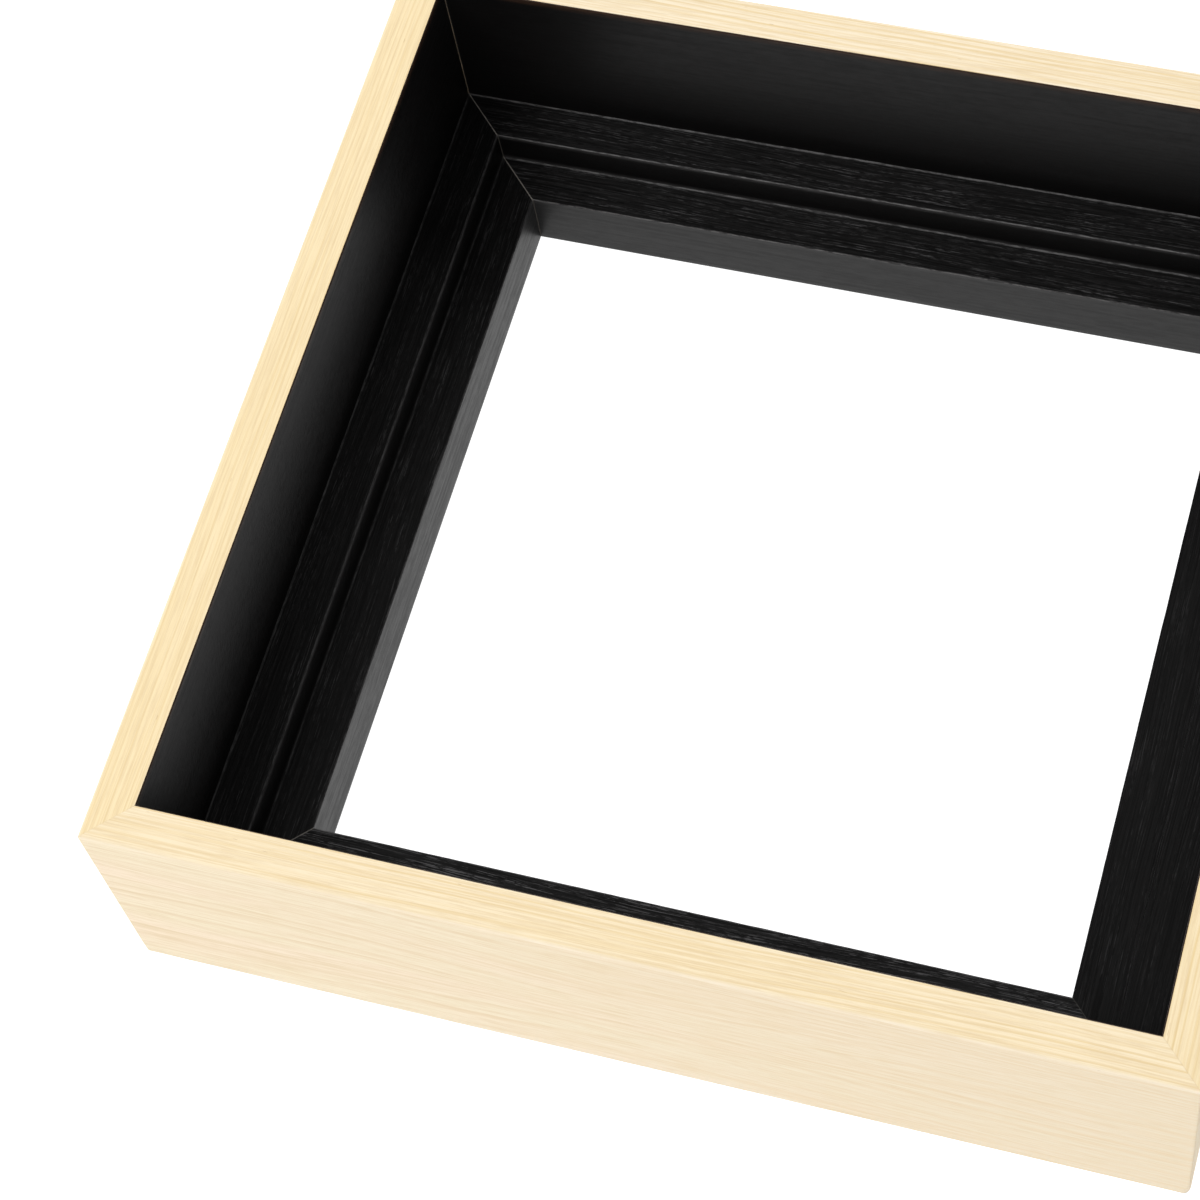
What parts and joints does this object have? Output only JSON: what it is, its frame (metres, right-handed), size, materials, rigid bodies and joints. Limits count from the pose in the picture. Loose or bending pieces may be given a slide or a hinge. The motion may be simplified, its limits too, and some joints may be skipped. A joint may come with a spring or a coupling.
{
  "type": "shadow box frame",
  "caption": "Square deep frame in pale wood with black stepped inner ledges and an open back, for setting a panel or keepsake below its face.",
  "frame": {"origin": "middle of the square, on the plane that the four back bumpers stand on", "axes": "+Z out of the wood face, +Y towards the edge that is up when it hangs, +X to the right seen from the face"},
  "size_m": [0.2286, 0.2286, 0.0678],
  "materials": {
    "natural_wood": "bare pale hardwood, fine straight grain, stained black on its inner wall",
    "black_wood": "black stain, satin, with raised grain on the treads",
    "nail_steel": "plain spring steel",
    "plated_steel": "nickel plated",
    "screw_steel": "zinc plated",
    "bumper_rubber": "matt moulded"
  },
  "bodies": {
    "frame": {"bottom_wall_rail": "natural_wood", "right_wall_rail": "natural_wood", "top_wall_rail": "natural_wood", "left_wall_rail": "natural_wood", "bottom_step_ledge": "black_wood", "right_step_ledge": "black_wood", "top_step_ledge": "black_wood", "left_step_ledge": "black_wood", "v_nail_bottom_left_outer": "nail_steel", "v_nail_bottom_left_middle": "nail_steel", "v_nail_bottom_left_inner": "nail_steel", "v_nail_bottom_right_outer": "nail_steel", "v_nail_bottom_right_middle": "nail_steel", "v_nail_bottom_right_inner": "nail_steel", "v_nail_top_right_outer": "nail_steel", "v_nail_top_right_middle": "nail_steel", "v_nail_top_right_inner": "nail_steel", "v_nail_top_left_outer": "nail_steel", "v_nail_top_left_middle": "nail_steel", "v_nail_top_left_inner": "nail_steel", "left_hanger_strap": "plated_steel", "left_hanger_screw": "screw_steel", "right_hanger_strap": "plated_steel", "right_hanger_screw": "screw_steel", "bumper_bottom_left": "bumper_rubber", "bumper_bottom_right": "bumper_rubber", "bumper_top_right": "bumper_rubber", "bumper_top_left": "bumper_rubber"},
    "left_ring": {"left_hanger_ring": "plated_steel"},
    "right_ring": {"right_hanger_ring": "plated_steel"}
  },
  "joints": [
    {"name": "left_ring_swing", "type": "hinge", "parent": "frame", "child": "left_ring", "pos_m": [-0.0936, 0.0381, 0.0027], "axis": [-1, 0, 0], "range_deg": [-15, 160]},
    {"name": "right_ring_swing", "type": "hinge", "parent": "frame", "child": "right_ring", "pos_m": [0.0936, 0.0381, 0.0027], "axis": [-1, 0, 0], "range_deg": [-15, 160]}
  ]
}
